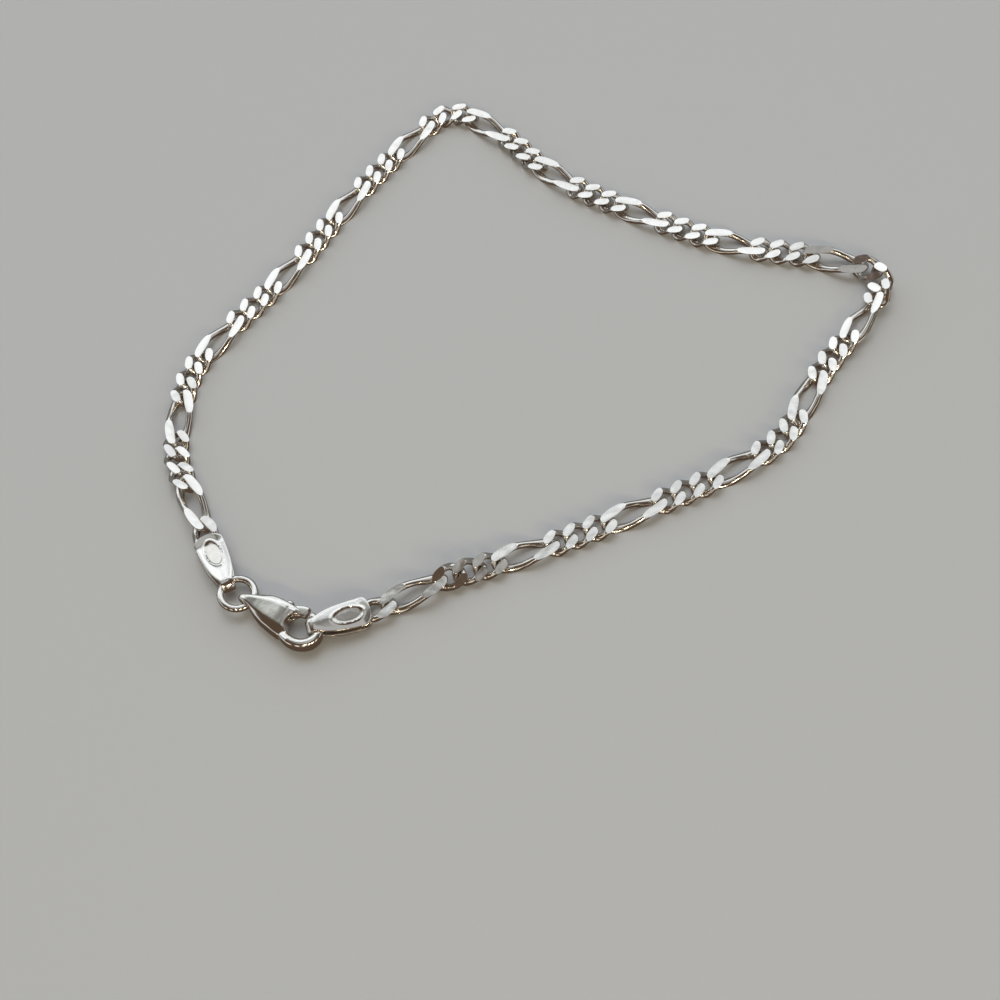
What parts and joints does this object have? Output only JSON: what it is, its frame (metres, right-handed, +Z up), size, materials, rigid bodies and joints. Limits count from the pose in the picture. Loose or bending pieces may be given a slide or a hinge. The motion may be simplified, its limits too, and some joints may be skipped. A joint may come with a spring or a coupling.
{
  "type": "figaro chain bracelet",
  "caption": "Slim silver figaro chain bracelet, closed in a loop and lying flat, with folded end tags and a claw clasp whose lever swings open.",
  "frame": {"origin": "on the surface the bracelet lies on, under the middle of its box", "axes": "+Z up from the surface, +Y across the loop away from the clasp's end, +X along the loop's longer way, away from the clasp"},
  "size_m": [0.075, 0.0626, 0.0021],
  "materials": {
    "silver": "polished",
    "clasp_silver": "polished"
  },
  "bodies": {
    "bracelet": {"long_link_01": "silver", "long_link_02": "silver", "long_link_03": "silver", "long_link_04": "silver", "long_link_05": "silver", "long_link_06": "silver", "long_link_07": "silver", "long_link_08": "silver", "long_link_09": "silver", "long_link_10": "silver", "long_link_11": "silver", "long_link_12": "silver", "long_link_13": "silver", "long_link_14": "silver", "long_link_15": "silver", "long_link_16": "silver", "long_link_17": "silver", "short_links_01": "silver", "short_links_02": "silver", "short_links_03": "silver", "short_links_04": "silver", "short_links_05": "silver", "short_links_06": "silver", "short_links_07": "silver", "short_links_08": "silver", "short_links_09": "silver", "short_links_10": "silver", "short_links_11": "silver", "short_links_12": "silver", "short_links_13": "silver", "short_links_14": "silver", "short_links_15": "silver", "short_links_16": "silver", "end_tag_a": "silver", "end_tag_b": "silver", "jump_ring": "silver", "clasp_body": "clasp_silver"},
    "lever": {"clasp_lever": "clasp_silver"}
  },
  "joints": [
    {"name": "lever_hinge", "type": "hinge", "parent": "bracelet", "child": "lever", "pos_m": [-0.02662, -0.02711, 0.00119], "axis": [0.0498, 0.0496, -0.9975], "range_deg": [0, 20], "stiffness_Nm_per_rad": 0.00002}
  ]
}
